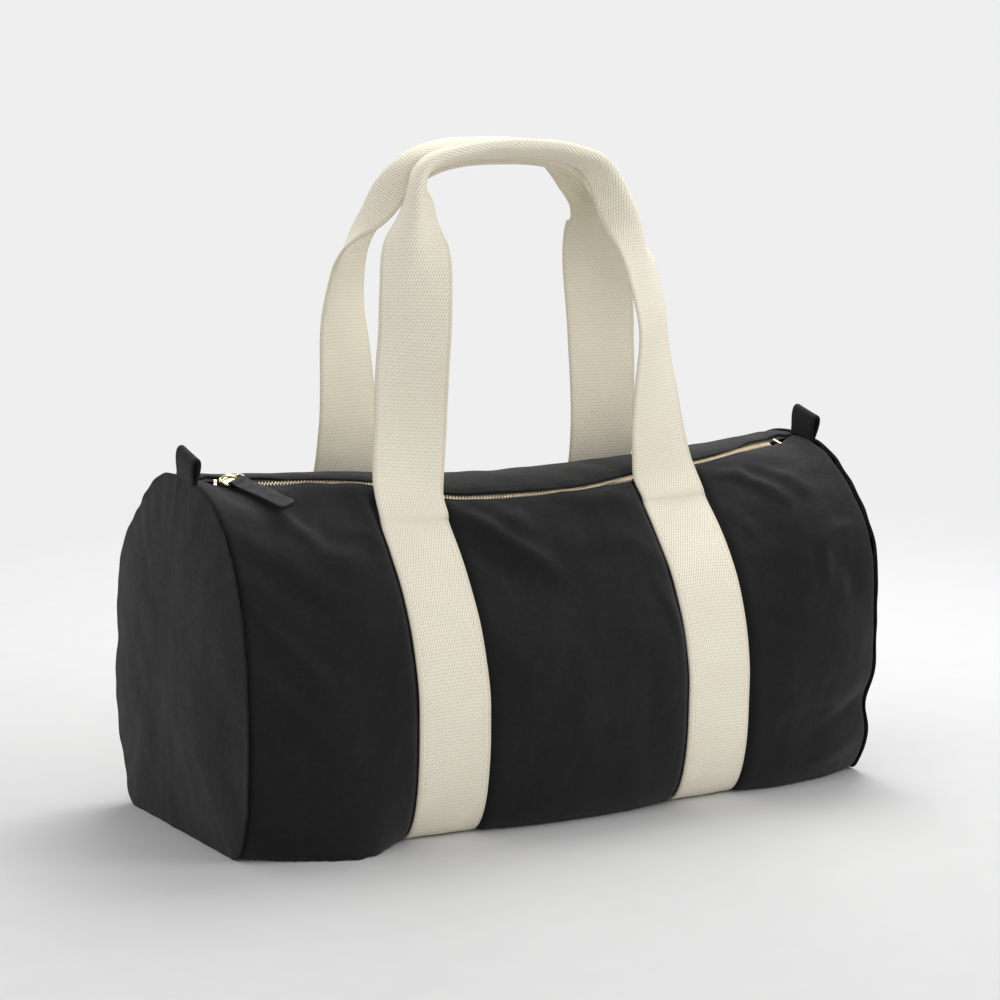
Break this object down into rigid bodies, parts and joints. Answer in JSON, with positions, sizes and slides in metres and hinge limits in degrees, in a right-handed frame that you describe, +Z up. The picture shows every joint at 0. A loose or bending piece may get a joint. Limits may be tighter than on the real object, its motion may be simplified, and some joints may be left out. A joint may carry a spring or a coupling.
{
  "type": "sports bag",
  "caption": "Barrel-shaped canvas sports bag with flat round ends, a zip along its top and wide webbing bands that rise into arched carrying handles.",
  "frame": {"origin": "middle of the flat bottom, on the surface that the bag stands on", "axes": "+X along the bag towards its right end seen from the front, +Y from the front to the back, +Z up"},
  "size_m": [0.493, 0.2222, 0.4396],
  "materials": {
    "canvas": "matt black cotton canvas",
    "binding": "matt black binding tape",
    "zip_tape": "matt black woven zip tape",
    "webbing": "natural undyed cotton webbing",
    "brass": "polished brass",
    "pull_strip": "folded black strip"
  },
  "bodies": {
    "bag": {"barrel_panel": "canvas", "end_panel_left": "canvas", "end_panel_right": "canvas", "seam_binding_left": "binding", "seam_binding_right": "binding", "webbing_band_left": "webbing", "webbing_band_right": "webbing", "zip_tape_front": "zip_tape", "zip_tape_back": "zip_tape", "zip_teeth_front": "brass", "zip_teeth_back": "brass", "zip_top_stop_front": "brass", "zip_top_stop_back": "brass", "zip_bottom_stop": "brass"},
    "front_handle": {"handle_front": "webbing"},
    "back_handle": {"handle_back": "webbing"},
    "left_tab": {"end_tab_left": "canvas"},
    "right_tab": {"end_tab_right": "canvas"},
    "slider": {"zip_slider": "brass"},
    "pull_ring": {"zip_pull_ring": "brass"},
    "puller": {"zip_puller": "pull_strip"}
  },
  "joints": [
    {"name": "front_handle_fold", "type": "hinge", "parent": "bag", "child": "front_handle", "pos_m": [0, -0.05741, 0.19786], "axis": [1, 0, 0], "range_deg": [0, 140]},
    {"name": "back_handle_fold", "type": "hinge", "parent": "bag", "child": "back_handle", "pos_m": [0, 0.05824, 0.20095], "axis": [-1, 0, 0], "range_deg": [0, 140]},
    {"name": "left_tab_fold", "type": "hinge", "parent": "bag", "child": "left_tab", "pos_m": [-0.23805, -0.0055, 0.23309], "axis": [0, -0.9659, -0.2588], "range_deg": [-45, 85]},
    {"name": "right_tab_fold", "type": "hinge", "parent": "bag", "child": "right_tab", "pos_m": [0.23805, -0.0055, 0.23309], "axis": [0, 0.9659, 0.2588], "range_deg": [-45, 85]},
    {"name": "zip_travel", "type": "hinge", "parent": "bag", "child": "slider", "pos_m": [0, 0.48509, 0.45379], "axis": [0, -0.4226, 0.9063], "range_deg": [0, 42], "deforming": ["zip_puller"]},
    {"name": "pull_ring_lift", "type": "hinge", "parent": "slider", "child": "pull_ring", "pos_m": [-0.2101, -0.00881, 0.22976], "axis": [-0.9347, -0.3222, -0.1502], "range_deg": [0, 120]},
    {"name": "puller_lift", "type": "hinge", "parent": "pull_ring", "child": "puller", "pos_m": [-0.20782, -0.01423, 0.22724], "axis": [-0.9347, -0.3222, -0.1502], "range_deg": [0, 80]}
  ]
}
